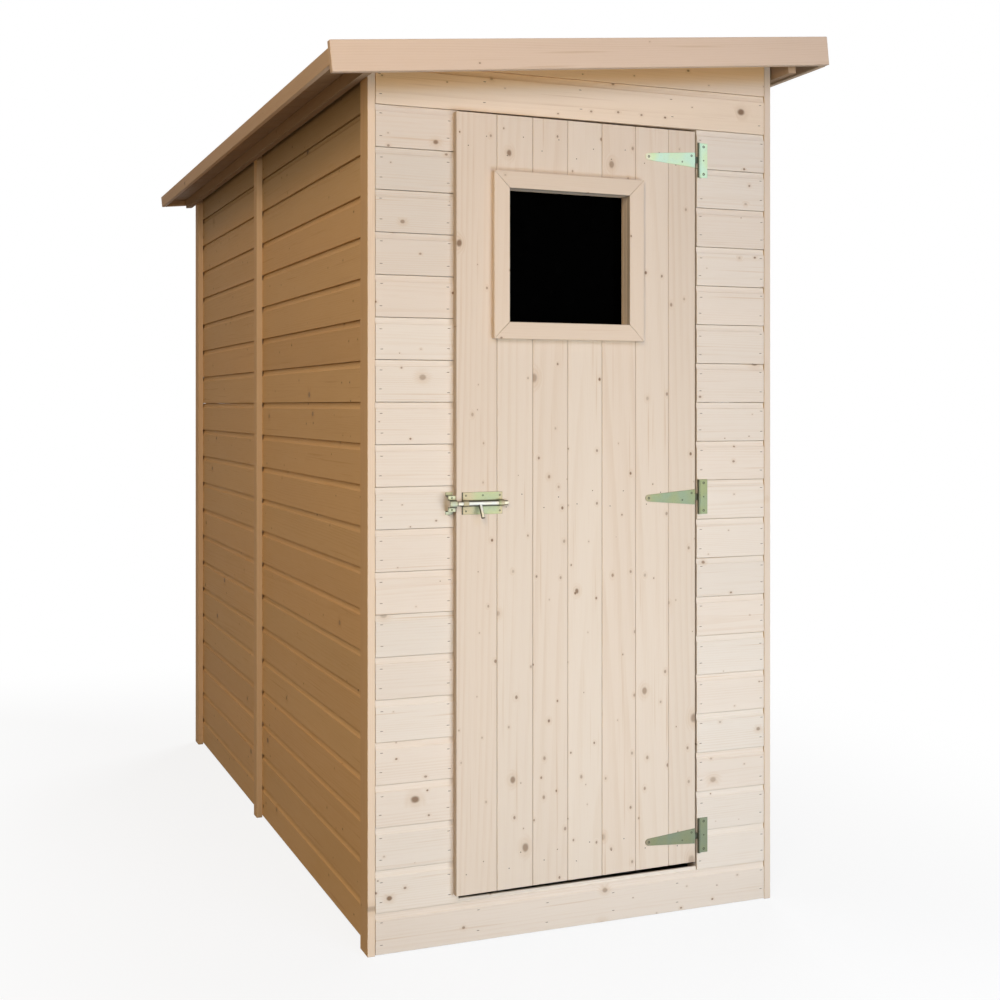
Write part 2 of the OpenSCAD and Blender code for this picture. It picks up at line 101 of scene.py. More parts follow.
RIGHT, LEFT = (1, 0, 0), (-1, 0, 0)
BACKWARD, FORWARD = (0, 1, 0), (0, -1, 0)
UP, DOWN = (0, 0, 1), (0, 0, -1)
SHARP = math.radians(35)                        # folds over this get an eased edge
FLAT = math.radians(0.4)                        # and under this they are no edge at all
SLACK = 1e-4                                    # a strip of board under this isn't laid
# Added to the seed in the settings, so that each group of pieces has its own figure
SILL_SEED, STRIP_SEED, ROOF_SEED, DECK_SEED, NAIL_SEED = 5, 40, 60, 80, 300


# ---- Settings ----

def length(name, description, default):
    return FloatProperty(name=name, description=description, default=default,
                         unit="LENGTH", precision=4)


def colour(name, description, default):
    return FloatVectorProperty(name=name, description=description, default=default,
                               subtype="COLOR", size=3, min=0, max=1)


class ShedBoards(PropertyGroup):
    pitch: length("Board pitch", "Visible height of one wall board", 0.088)
    thickness: length("Board thickness", "Thickness of wall and roof boards", 0.016)
    scoop_height: length("Scoop height", "Height of the scooped edge of a board", 0.014)
    scoop_depth: length("Scoop depth", "Depth of the scooped edge of a side board", 0.0055)
    front_scoop: length("Front scoop depth", "Depth of the scooped edge of a front board",
                        0.0034)
    arris: length("Arris", "Rounding of the boards' edges", 0.0006)
    joint_gap: length("Joint gap", "Gap between two boards", 0.0008)
    roof_groove: length("Roof groove", "Bevel of the roof boards' edges", 0.002)
    seed: IntProperty(name="Seed", description="Chooses the figure of the boards",
                      default=7)


class ShedColours(PropertyGroup):
    early: colour("Early wood", "Colour of the pale wood", (0.80, 0.70, 0.60))
    late: colour("Late wood", "Colour of the growth lines", (0.62, 0.47, 0.34))
    knot: colour("Knots", "Colour of the knots", (0.24, 0.155, 0.10))
    hinge_foot: colour("Lowest hinge", "Zinc film of the lowest hinge", (0.195, 0.222, 0.135))
    hinge_middle: colour("Middle hinge", "Zinc film of the middle hinge", (0.262, 0.318, 0.19))
    hinge_head: colour("Highest hinge", "Zinc film of the highest hinge", (0.60, 0.78, 0.56))
    zinc: colour("Bolt plate", "Zinc film of the bolt's plate", (0.34, 0.385, 0.235))
    keeper: colour("Keeper", "Zinc film of the bolt's keeper", (0.42, 0.45, 0.34))
    bar: colour("Bolt bar", "Bright metal of the bolt's worn bar", (0.72, 0.70, 0.62))
    nail: colour("Nails", "Colour of the nail heads", (0.22, 0.165, 0.12))
    screw: colour("Screws", "Colour of the screw heads", (0.085, 0.10, 0.06))


class ShedStage(PropertyGroup):
    lens: FloatProperty(name="Lens", description="Focal length of the camera in millimetres",
                        default=51.53)
    shift: FloatProperty(name="Shift", description="Vertical shift of the camera",
                         default=-0.0945)
    eye: FloatVectorProperty(name="Eye", description="Place of the camera", size=3,
                             subtype="TRANSLATION", default=(-1.321, -3.860, 1.1365))
    heading: FloatProperty(name="Heading", description="Direction of the camera, right of +Y",
                           subtype="ANGLE", default=math.radians(21.75))


# ---- Node helpers ----

def feed(tree, socket, value):
    """Links a node's output to a socket, or sets the socket to a plain value."""
    if isinstance(value, bpy.types.NodeSocket):
        tree.links.new(value, socket)
    elif isinstance(value, tuple) and len(value) < len(socket.default_value):
        socket.default_value = value + (1.0,)
    else:
        socket.default_value = value


def add(tree, kind, inputs=None, **fields):
    """A new node with its fields set and its inputs fed."""
    node = tree.nodes.new(kind)
    for key, value in fields.items():
        setattr(node, key, value)
    for key, value in (inputs or {}).items():
        feed(tree, node.inputs[key], value)
    return node


def maths(tree, operation, *values, clamp=False):
    return add(tree, "ShaderNodeMath", dict(enumerate(values)), operation=operation,
               use_clamp=clamp).outputs[0]


def vector_maths(tree, operation, a, b=(0.0, 0.0, 0.0)):
    return add(tree, "ShaderNodeVectorMath", {0: a, 1: b}, operation=operation).outputs[0]


def parts_of(tree, vector):
    """The X, Y and Z of a vector."""
    return add(tree, "ShaderNodeSeparateXYZ", {0: vector}).outputs


def remap(tree, value, low, high, to_low=0.0, to_high=1.0, smooth=False):
    """A value between low and high, laid on the range from to_low to to_high."""
    return add(tree, "ShaderNodeMapRange",
               {"Value": value, "From Min": low, "From Max": high,
                "To Min": to_low, "To Max": to_high},
               clamp=True, interpolation_type="SMOOTHSTEP" if smooth else "LINEAR"
               ).outputs["Result"]


def fade_in(tree, value, low, high):
    return remap(tree, value, low, high, smooth=True)


def fade_out(tree, value, low, high):
    return remap(tree, value, low, high, to_low=1.0, to_high=0.0, smooth=True)


def swing(tree, value, amount):
    """A value round one half, as a swing of that amount round zero."""
    return maths(tree, "MULTIPLY", maths(tree, "SUBTRACT", value, 0.5), amount)


def noise(tree, vector, scale, detail=2.0, roughness=0.5, distortion=0.0):
    """Noise of one scale, or of one along each of X, Y and Z."""
    if isinstance(scale, tuple):
        vector, scale = vector_maths(tree, "MULTIPLY", vector, scale), 1.0
    return add(tree, "ShaderNodeTexNoise",
               {"Vector": vector, "Scale": scale, "Detail": detail, "Roughness": roughness,
                "Distortion": distortion}).outputs["Fac"]


def mix_colour(tree, share, a, b, blend="MIX"):
    return add(tree, "ShaderNodeMix", {0: share, 6: a, 7: b}, data_type="RGBA",
               blend_type=blend).outputs[2]


def tinted(tree, mask, base, tint):
    """The base colour, multiplied by a tint where the mask is full."""
    return mix_colour(tree, mask, base, mix_colour(tree, 1.0, base, tint, "MULTIPLY"))


def bumped(tree, height, strength, distance):
    return add(tree, "ShaderNodeBump", {"Strength": strength, "Distance": distance,
                                        "Height": height}).outputs[0]


def own_place(tree):
    """The place of a point in its piece's own frame."""
    return add(tree, "ShaderNodeTexCoord").outputs["Object"]


def attribute(tree, name, output="Fac"):
    return add(tree, "ShaderNodeAttribute", attribute_name=name).outputs[output]


def from_group(tree, made, output, **inputs):
    """One output of a shader group, with its inputs given in lower case."""
    named = {name.replace("_", " ").capitalize(): value for name, value in inputs.items()}
    return add(tree, "ShaderNodeGroup", named, node_tree=made).outputs[output]


def dyed(base, factors):
    """A colour times a tint, or times one number."""
    if isinstance(factors, float):
        factors = (factors,) * 3
    return tuple(min(1.0, part * factor) for part, factor in zip(base, factors))


# ---- Shader groups ----

def shader_group(name, inputs, outputs):
    """A new shader group, the values that come in and the sockets that go out. An input
    without a default is a vector."""
    tree = bpy.data.node_groups.new(name, "ShaderNodeTree")
    for label, default in inputs.items():
        kind = "NodeSocketVector" if default is None else "NodeSocketFloat"
        item = tree.interface.new_socket(name=label, in_out="INPUT", socket_type=kind)
        if default is not None:
            item.default_value = default
    for label in outputs:
        tree.interface.new_socket(name=label, in_out="OUTPUT", socket_type="NodeSocketFloat")
    return tree, add(tree, "NodeGroupInput").outputs, add(tree, "NodeGroupOutput").inputs


def knots(tree, place, share, size):
    """The cores of knots and the halos round them, large and small ones. The board is
    parted into cells that are longer along the grain, and only some of them hold a knot."""
    largest = 0.050                             # reach of a knot, as a share of its cell
    along, _, across = parts_of(tree, place)
    face = add(tree, "ShaderNodeCombineXYZ", {0: along, 1: across}).outputs[0]
    cells = vector_maths(tree, "MULTIPLY", face, (1.0, 1.3, 0.0))
    layers = []
    for per_metre, shift in ((6.0, 0.0), (15.0, 3.7)):
        moved = vector_maths(tree, "ADD", cells, (shift, shift * 0.6, 0.0))
        cell = add(tree, "ShaderNodeTexVoronoi", {"Vector": moved, "Scale": per_metre},
                   feature="F1", voronoi_dimensions="2D").outputs
        chance, girth, dark = add(tree, "ShaderNodeSeparateColor", {0: cell["Color"]}).outputs
        chosen = maths(tree, "LESS_THAN", chance, share)
        wobble = noise(tree, moved, per_metre * 9.0, detail=1.0)
        uneven = 0.02
        distance = maths(tree, "ADD", cell["Distance"], swing(tree, wobble, uneven))
        reach = maths(tree, "MULTIPLY",
                      maths(tree, "MULTIPLY_ADD", girth, largest, largest * 0.35), size)
        ratio = maths(tree, "DIVIDE", distance, reach)
        depth = maths(tree, "MULTIPLY", chosen, remap(tree, dark, 0.0, 1.0, to_low=0.35))
        layers.append((maths(tree, "MULTIPLY", fade_out(tree, ratio, 0.45, 1.10), depth),
                       maths(tree, "MULTIPLY", fade_out(tree, ratio, 0.6, 3.0), chosen)))
    (core, halo), (small_core, small_halo) = layers
    return (maths(tree, "MAXIMUM", core, small_core),
            maths(tree, "MAXIMUM", halo, maths(tree, "MULTIPLY", small_halo, 0.7)))


def growth_lines(tree, place, halo, ring_width):
    """Dark lines by the distance from a wandering pith, bent round the knots."""
    pith_depth, drift, taper, bend = 0.035, 0.035, 0.12, 0.007
    wander = noise(tree, place, (0.9, 6.0, 6.0), roughness=0.45)
    along, deep, across = parts_of(tree, vector_maths(tree, "MULTIPLY", place,
                                                      (0.05, 1.0, 1.0)))
    across = maths(tree, "ADD", across, swing(tree, wander, drift))
    deep = maths(tree, "ADD", deep, pith_depth)
    radius = maths(tree, "SQRT", maths(tree, "ADD", maths(tree, "POWER", across, 2.0),
                                       maths(tree, "POWER", deep, 2.0)))
    radius = maths(tree, "ADD", radius, maths(tree, "MULTIPLY", along, taper))
    radius = maths(tree, "ADD", radius, maths(tree, "MULTIPLY", halo, bend))
    ring = maths(tree, "FRACT", maths(tree, "DIVIDE", radius, ring_width))
    line = maths(tree, "MULTIPLY", fade_in(tree, ring, 0.25, 0.86),
                 fade_out(tree, ring, 0.90, 1.0))
    # They fade and return in places
    presence = noise(tree, place, (0.8, 20.0, 40.0), detail=1.0)
    strength = remap(tree, presence, 0.38, 0.70, to_low=0.15)
    return maths(tree, "MULTIPLY", line, strength)


@functools.cache
def spruce_figure():
    """Growth lines, knots, streaks and fine fibre of a planed spruce board.

    The vector runs in metres: X along the grain, Y into the board, Z across it."""
    tree, inside, outside = shader_group(
        "Spruce figure",
        {"Vector": None, "Ring width": 0.006, "Knot size": 1.0, "Knot share": 0.25},
        ("Rings", "Fibre", "Knot", "Halo", "Cloud", "Streak"))
    place = inside["Vector"]
    core, halo = knots(tree, place, inside["Knot share"], inside["Knot size"])
    # Streaks are thin and dark, and some decimetres long
    long = noise(tree, place, (3.0, 40.0, 160.0), detail=1.0)
    for name, value in (
            ("Rings", growth_lines(tree, place, halo, inside["Ring width"])),
            ("Fibre", noise(tree, place, (14.0, 300.0, 420.0), detail=3.0, roughness=0.6)),
            ("Knot", core),
            ("Halo", halo),
            ("Cloud", noise(tree, place, (2.2, 8.0, 11.0))),
            ("Streak", fade_in(tree, long, 0.66, 0.80))):
        feed(tree, outside[name], value)
    return tree


@functools.cache
def edge_wear():
    """A thin light line on convex edges, from the bevel of the shading normal."""
    tree, inside, outside = shader_group("Edge wear", {"Radius": 0.0015}, ("Edge",))
    bevel = add(tree, "ShaderNodeBevel", {"Radius": inside["Radius"]}, samples=4)
    flat = add(tree, "ShaderNodeNewGeometry").outputs["Normal"]
    bend = add(tree, "ShaderNodeVectorMath", {0: bevel.outputs[0], 1: flat},
               operation="DOT_PRODUCT").outputs["Value"]
    feed(tree, outside["Edge"], remap(tree, bend, 0.75, 0.99, to_low=1.0, to_high=0.0))
    return tree


@functools.cache
def patch():
    """A soft-edged block of the piece: 1 inside it, fading to 0 outside."""
    tree, inside, outside = shader_group(
        "Patch", {"Vector": None, "Middle": None, "Half size": None, "Fade": 0.01}, ("Mask",))
    away = vector_maths(tree, "SUBTRACT", inside["Vector"], inside["Middle"])
    past = vector_maths(tree, "SUBTRACT", vector_maths(tree, "ABSOLUTE", away),
                        inside["Half size"])
    x, y, z = parts_of(tree, past)
    most = maths(tree, "MAXIMUM", x, maths(tree, "MAXIMUM", y, z))
    share = maths(tree, "DIVIDE", most, inside["Fade"])
    feed(tree, outside["Mask"], fade_out(tree, share, 0.0, 1.0))
    return tree


@functools.cache
def turned_face_shade():
    """Masks by the way a face looks, for painted shade and dark reflection: Aside for faces
    turned to the sides, and Under for faces turned to the ground."""
    tree, inside, outside = shader_group("Turned face shade", {"Start": 0.5}, ("Aside", "Under"))
    normal = add(tree, "ShaderNodeTexCoord").outputs["Normal"]
    feed(tree, outside["Under"], fade_out(tree, parts_of(tree, normal)[2], -0.8, -0.4))
    x, _, z = parts_of(tree, vector_maths(tree, "ABSOLUTE", normal))
    over = maths(tree, "SUBTRACT", maths(tree, "MAXIMUM", x, z), inside["Start"])
    feed(tree, outside["Aside"], fade_in(tree, over, 0.0, 0.3))
    return tree


# ---- Wood ----

class Spruce(NamedTuple):
    """How one kind of board differs from plain planed spruce."""
    early: tuple                                # tint of the pale wood
    late: tuple = (1.0, 1.0, 1.0)               # tint of the growth lines
    tone: float = 0.06                          # how much boards differ in tone
    figure: float = 0.24                        # strength of the growth lines
    knot_share: float = 0.16
    knot_size: float = 1.0
    ring_width: float = 0.0045
    roughness: float = 0.62
    gloss: float = 0.1
    sawn: float = 0.0                           # extra height of the fibre's bump
    # The groove is painted shade in the V-grooves between boards
    groove: float = 0.0                         # darkness of a board's two long edges
    # Painted shade on faces turned to the shed's sides (aside) and to the ground (under)
    aside: tuple = None                         # tint of faces turned to the shed's sides
    under: tuple = None                         # tint of faces turned to the ground
    # Tint of the painted shade that the eaves cast, and where that starts and is full, as
    # heights over the fascia's foot
    eaves_shade: tuple = None


PLANED_STRIP = dict(knot_share=0.10, knot_size=0.8, ring_width=0.004)
ROUGH_SAWN = dict(tone=0.12, figure=0.45, knot_share=0.2, ring_width=0.006, roughness=0.75,
                  sawn=0.6)
WOODS = {
    "front board": Spruce((0.975, 1.01, 1.06), figure=0.22, knot_share=0.36),
    "shaded front board": Spruce((0.905, 0.94, 0.99), knot_share=0.36),
    # The board over the door gets a warm painted shade under the fascia
    "cream front board": Spruce((1.03, 0.99, 0.94), knot_share=0.36,
                                eaves_shade=((1.05, 0.85, 0.57), -0.035, 0.005)),
    # The side boards are the front's spruce dyed browner: painted shade of the side walls
    "side board": Spruce((0.93, 0.765, 0.52), (0.93, 0.77, 0.525), tone=0.10, figure=0.20,
                         knot_share=0.20, gloss=0.06,
                         eaves_shade=((0.58, 0.58, 0.56), -0.21, 0.02)),
    "door board": Spruce((0.935, 0.93, 0.93), tone=0.05, figure=0.26, knot_share=0.50,
                         knot_size=1.15, ring_width=0.0035, groove=0.42),
    "trim": Spruce((0.925, 0.895, 0.87), figure=0.18, **PLANED_STRIP),
    # The strips' faces turned aside are dyed as painted shade
    "strip": Spruce((1.01, 0.94, 0.87), figure=0.18, aside=(0.90, 0.79, 0.60), **PLANED_STRIP),
    "grey strip": Spruce((0.94, 0.93, 0.93), figure=0.22, aside=(0.98, 0.88, 0.66),
                         **PLANED_STRIP),
    "roof board": Spruce((0.86, 0.76, 0.66), (0.94, 0.88, 0.80), tone=0.08, figure=0.26),
    # The deck is darker than the other roof boards, and darker still underneath: painted shade
    # of the soffit
    "deck board": Spruce((0.74, 0.65, 0.55), (0.84, 0.76, 0.66), tone=0.08, figure=0.26,
                         under=(0.62, 0.53, 0.42)),
    "fascia": Spruce((0.93, 0.86, 0.82), (0.98, 0.96, 0.93), tone=0.08, figure=0.30),
    # The bearers are darker than the sawn battens: painted shade under the roof
    "bearer": Spruce((0.52, 0.43, 0.34), (0.56, 0.48, 0.40), **ROUGH_SAWN),
    "sawn batten": Spruce((0.90, 0.84, 0.76), (0.92, 0.86, 0.80), **ROUGH_SAWN),
}


def empty_material(name):
    material = bpy.data.materials.new(name)
    material.use_nodes = True
    material.node_tree.nodes.clear()
    return material, material.node_tree


def new_material(name):
    """A material with one shader, its node tree and the shader's inputs."""
    material, tree = empty_material(name)
    shader = add(tree, "ShaderNodeBsdfPrincipled")
    add(tree, "ShaderNodeOutputMaterial", {0: shader.outputs[0]})
    return material, tree, shader.inputs


def board_tone(tree, base, cloud, tone):
    """Gives each board its own tone, which drifts slowly along it, and makes some boards
    a little warmer and others cooler."""
    shade = attribute(tree, "tone")
    drift = maths(tree, "ADD", swing(tree, shade, tone), swing(tree, cloud, tone * 0.9))
    level = maths(tree, "ADD", drift, 1.0)
    toned = add(tree, "ShaderNodeVectorMath", {0: base, "Scale": level},
                operation="SCALE").outputs[0]
    warmth = maths(tree, "FRACT", maths(tree, "MULTIPLY", shade, 7.3))
    tint = mix_colour(tree, warmth, (1.0, 0.985, 0.965), (0.985, 1.0, 1.0))
    return mix_colour(tree, 1.0, toned, tint, "MULTIPLY")


def height_over_fascia(tree):
    """How high a point lies, measured square to the roof as the fascia's foot is."""
    x, _, z = parts_of(tree, own_place(tree))
    return maths(tree, "SUBTRACT", maths(tree, "MULTIPLY", z, math.cos(ROOF_SLOPE)),
                 maths(tree, "MULTIPLY", x, math.sin(ROOF_SLOPE)))


def with_painted_shade(tree, base, look, late):
    """Paints shade on the board: darker long edges as shade in its grooves, and shade tints on
    faces turned aside or down and under the eaves.
    """
    if look.groove:
        across = maths(tree, "ABSOLUTE", attribute(tree, "across"))
        start, full = 0.972, 0.990              # shares of half the board's width
        edge = remap(tree, across, start, full, to_high=look.groove, smooth=True)
        base = mix_colour(tree, edge, base, dyed(late, 0.45))
    if look.aside:
        base = tinted(tree, from_group(tree, turned_face_shade(), "Aside", start=0.6), base, look.aside)
    if look.under:
        base = tinted(tree, from_group(tree, turned_face_shade(), "Under"), base, look.under)
    # Painted shade under the eaves, growing up to the fascia's foot
    if look.eaves_shade:
        tint, start, full = look.eaves_shade
        band = fade_in(tree, height_over_fascia(tree), FASCIA_FOOT + start,
                       FASCIA_FOOT + full)
        base = tinted(tree, band, base, tint)
    return base


@functools.cache
def wood(kind):
    """The spruce of one kind of board. Each board's mesh carries its grain and tone, and
    how far across the board each point lies."""
    look = WOODS[kind]
    colours = bpy.context.scene.shed_colours
    early, late = dyed(colours.early, look.early), dyed(colours.late, look.late)
    material, tree, shader = new_material(kind + " spruce")
    figure = add(tree, "ShaderNodeGroup",
                 {"Vector": attribute(tree, "grain", "Vector"), "Ring width": look.ring_width,
                  "Knot size": look.knot_size, "Knot share": look.knot_share},
                 node_tree=spruce_figure()).outputs
    rings, fibre, core = figure["Rings"], figure["Fibre"], figure["Knot"]
    line = maths(tree, "MULTIPLY", rings, look.figure)
    line = maths(tree, "ADD", line, remap(tree, fibre, 0.35, 0.75, to_low=-0.06, to_high=0.10))
    line = maths(tree, "ADD", line,
                 maths(tree, "MULTIPLY", figure["Streak"], look.figure * 2.2))
    line = maths(tree, "ADD", line, maths(tree, "MULTIPLY", figure["Halo"], 0.35), clamp=True)
    base = mix_colour(tree, line, early, late)
    base = mix_colour(tree, core, base, tuple(colours.knot))
    base = board_tone(tree, base, figure["Cloud"], look.tone)
    feed(tree, shader["Base Color"], with_painted_shade(tree, base, look, late))
    # Knots are harder and smoother than the wood round them
    rough = remap(tree, fibre, 0.3, 0.7, to_low=look.roughness - 0.05,
                  to_high=look.roughness + 0.08)
    rough = maths(tree, "ADD", rough, maths(tree, "MULTIPLY", core, -0.15))
    feed(tree, shader["Roughness"], rough)
    shader["Specular IOR Level"].default_value = look.gloss
    height = maths(tree, "ADD", maths(tree, "MULTIPLY", rings, 0.35),
                   maths(tree, "MULTIPLY", fibre, 0.5 + look.sawn))
    feed(tree, shader["Normal"], bumped(tree, height, strength=0.25, distance=0.0006))
    return material


# ---- Metal and pane ----

def block_mask(tree, place, low, high, fade):
    """The mask of a block between two corners, given in the piece's own frame."""
    low, high = Vector(low), Vector(high)
    return from_group(tree, patch(), "Mask", vector=place, middle=(low + high) / 2,
                      half_size=(high - low) / 2, fade=fade)


def zinc_plate(name, base, dull, bare=(), shade_blocks=(), flanks=0.0):
    """Passivated zinc: a yellow-green film over bright steel, with soft blue patches.

    The film is thin in the bare blocks and painted near black in the shade_blocks, as painted
    shade, both given as (low corner, high corner, fade); flanks is painted shade and dark
    reflection on faces turned aside."""
    # Painted shade: the near black of gaps, of shadow beside the bar and of dark reflections
    painted_dark = (0.030, 0.028, 0.014)
    material, tree, shader = new_material(name)
    place = own_place(tree)
    film = noise(tree, place, 17.0, distortion=0.5)
    spots = noise(tree, place, 420.0)
    tone = mix_colour(tree, remap(tree, film, 0.38, 0.62), dyed(base, (1.06, 1.02, 0.86)),
                      dyed(base, (0.94, 1.02, 1.14)))
    for block in bare:
        tone = mix_colour(tree, block_mask(tree, place, *block), tone,
                          dyed(base, (1.28, 0.98, 1.02)))
    tone = mix_colour(tree, remap(tree, spots, 0.55, 0.75, to_high=0.35), tone,
                      dyed(base, dull))
    worn = from_group(tree, edge_wear(), "Edge", radius=0.0012)
    tone = mix_colour(tree, maths(tree, "MULTIPLY", worn, 0.4), tone, dyed(base, 1.4))
    # Painted shade in the given blocks
    for block in shade_blocks:
        mask = maths(tree, "MULTIPLY", block_mask(tree, place, *block), 0.92)
        tone = mix_colour(tree, mask, tone, painted_dark)
    # Painted shade and dark reflection on faces turned aside
    if flanks:
        side = from_group(tree, turned_face_shade(), "Aside", start=0.5)
        tone = mix_colour(tree, maths(tree, "MULTIPLY", side, flanks), tone, painted_dark)
    feed(tree, shader["Base Color"], tone)
    shader["Metallic"].default_value = 0.25
    feed(tree, shader["Roughness"], remap(tree, film, 0.3, 0.7, to_low=0.38, to_high=0.52))
    feed(tree, shader["Normal"], bumped(tree, spots, strength=0.12, distance=0.0002))
    return material


def shade_painted_pane():
    """A nearly black pane with a little dust: painted shade of the dark inside, seen through
    the glass.
    """
    material, tree, shader = new_material("shade painted pane")
    dust = noise(tree, own_place(tree), 35.0, detail=4.0, roughness=0.6)
    tone = mix_colour(tree, remap(tree, dust, 0.5, 0.8, to_high=0.5),
                      (0.0002, 0.0002, 0.0002), (0.001, 0.001, 0.001))
    feed(tree, shader["Base Color"], tone)
    feed(tree, shader["Roughness"], remap(tree, dust, 0.3, 0.8, to_low=0.10, to_high=0.22))
    shader["Specular IOR Level"].default_value = 0.004
    return material


@functools.cache
def head_metal(name, base):
    """Slightly rusted steel of nails and screws."""
    material, tree, shader = new_material(name)
    rust = noise(tree, own_place(tree), 60.0)
    feed(tree, shader["Base Color"], mix_colour(tree, rust, base, dyed(base, 0.6)))
    feed(tree, shader["Roughness"], remap(tree, rust, 0.3, 0.7, to_low=0.4, to_high=0.6))
    shader["Metallic"].default_value = 0.6
    return material


# ---- Timber ----

def soften(work, width):
    """Rounds the sharp edges of a bmesh."""
    sharp = [e for e in work.edges if len(e.link_faces) == 2 and e.calc_face_angle() > SHARP]
    bmesh.ops.bevel(work, geom=sharp, offset=width, segments=1, profile=0.5,
                    affect="EDGES", clamp_overlap=True)


def add_piece(name, mesh, material, body, node=None):
    """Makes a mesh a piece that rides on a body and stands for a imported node."""
    mesh.materials.append(material)
    piece = bpy.data.objects.new(name, mesh)
    bpy.context.scene.collection.objects.link(piece)
    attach(piece, body)
    if node:
        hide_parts(node)
    return piece


def solid_piece(name, work, material, body, node=None):
    """Turns a bmesh into a piece."""
    mesh = bpy.data.meshes.new(name)
    work.to_mesh(mesh)
    work.free()
    add_piece(name, mesh, material, body, node)


def run_of(low, high, way):
    """The length of a box along a direction."""
    return abs(sum((b - a) * part for a, b, part in zip(low, high, way)))


def place_in(low, high, along, inward):
    """A place whose X runs along the plank, Y into it and Z up or across. It starts in the
    corner of a box from which all three lead into the box."""
    x, y = Vector(along), Vector(inward)
    z = x.cross(y)
    place = Matrix((x, y, z)).transposed().to_4x4()
    way = x + y + z
    place.translation = [low[i] if way[i] > 0 else high[i] for i in range(3)]
    return place


def rectangle(depth, height):
    return [(0, 0), (0, height), (depth, height), (depth, 0)]


class Timber:
    """Gathers planks into one mesh, each with its own grain and tone."""

    def __init__(self, seed):
        self.random = random.Random(seed)
        self.points, self.faces, self.grain, self.tone, self.across = [], [], [], [], []

    def plank(self, place, profile, run, cuts=(), arris=None):
        """A plank along the local X of place, from 0 to run.

        profile lists (depth, height) corners in order; cuts are world planes as
        (point, normal), and what lies on the normal's side is cut away."""
        work = bmesh.new()
        first, last = ([work.verts.new(place @ Vector((x, *corner))) for corner in profile]
                       for x in (0.0, run))
        for i in range(len(profile)):
            j = (i + 1) % len(profile)
            work.faces.new((first[i], first[j], last[j], last[i]))
        work.faces.new(first[::-1])
        work.faces.new(last)
        for point, normal in cuts:
            cut = bmesh.ops.bisect_plane(
                work, geom=work.verts[:] + work.edges[:] + work.faces[:], dist=1e-7,
                plane_co=point, plane_no=normal, clear_outer=True)
            rim = [e for e in cut["geom_cut"] if isinstance(e, bmesh.types.BMEdge)]
            if rim:
                bmesh.ops.edgeloop_fill(work, edges=rim)
        if work.faces:
            bmesh.ops.recalc_face_normals(work, faces=work.faces)
            soften(work, arris or bpy.context.scene.shed_boards.arris)
            back = place.inverted()
            self.gather(work, lambda co: back @ co, *self.new_figure())
        work.free()

    def board(self, low, high, along, inward, turn=None, cuts=(), arris=None):
        """A plain board that fills a box, given in the frame that turn leads out of."""
        run, deep, across = (run_of(low, high, way) for way in
                             (along, inward, Vector(along).cross(Vector(inward))))
        place = place_in(low, high, along, inward)
        self.plank(turn @ place if turn else place, rectangle(deep, across), run, cuts, arris)

    def new_figure(self):
        """Where the next board was sawn from the log, and its tone."""
        shift = Vector((self.random.uniform(0, 40), self.random.uniform(-0.02, 0.03),
                        self.random.uniform(-0.09, 0.05)))
        return shift, self.random.random()

    def gather(self, work, to_grain, shift, tone):
        """Adds a finished board. to_grain turns a point so that X runs along the grain."""
        start = len(self.points)
        work.verts.index_update()
        widths = [to_grain(v.co).z for v in work.verts]
        middle, half = (max(widths) + min(widths)) / 2, (max(widths) - min(widths)) / 2
        self.across += [(width - middle) / half for width in widths]
        self.points += [v.co[:] for v in work.verts]
        self.grain += [to_grain(v.co) + shift for v in work.verts]
        self.tone += [tone] * len(work.verts)
        self.faces += [[start + v.index for v in f.verts] for f in work.faces]

    def make(self, name, kind, body, node):
        mesh = bpy.data.meshes.new(name)
        mesh.from_pydata(self.points, [], self.faces)
        mesh.update()
        grain = mesh.attributes.new("grain", "FLOAT_VECTOR", "POINT")
        grain.data.foreach_set("vector", [part for point in self.grain for part in point])
        for label, values in (("tone", self.tone), ("across", self.across)):
            mesh.attributes.new(label, "FLOAT", "POINT").data.foreach_set("value", values)
        return add_piece(name, mesh, wood(kind), body, node)


def packed_pieces(node):
    """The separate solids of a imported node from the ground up, each as a clean bmesh."""
    whole = bmesh.new()
    whole.from_mesh(NODES[node].data)
    bmesh.ops.remove_doubles(whole, verts=whole.verts, dist=1e-6)
    bmesh.ops.dissolve_limit(whole, angle_limit=FLAT, verts=whole.verts, edges=whole.edges)
    # Dictionaries keep their order, so that every run gives the same meshes
    left, pieces = dict.fromkeys(whole.verts), []
    while left:
        stack, found = [left.popitem()[0]], []
        while stack:
            v = stack.pop()
            found.append(v)
            for other in (e.other_vert(v) for e in v.link_edges):
                if other in left:
                    del left[other]
                    stack.append(other)
        part = bmesh.new()
        made = {v: part.verts.new(v.co) for v in found}
        for f in dict.fromkeys(f for v in found for f in v.link_faces):
            part.faces.new([made[v] for v in f.verts])
        bmesh.ops.recalc_face_normals(part, faces=part.faces)
        pieces.append(part)
    whole.free()
    pieces.sort(key=lambda b: tuple(round(sum(v.co[i] for v in b.verts), 4) for i in (2, 0, 1)))
    return pieces


def heights_of(node):
    """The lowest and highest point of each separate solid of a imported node."""
    spans = []
    for piece in packed_pieces(node):
        heights = [v.co.z for v in piece.verts]
        spans.append((min(heights), max(heights)))
        piece.free()
    return spans


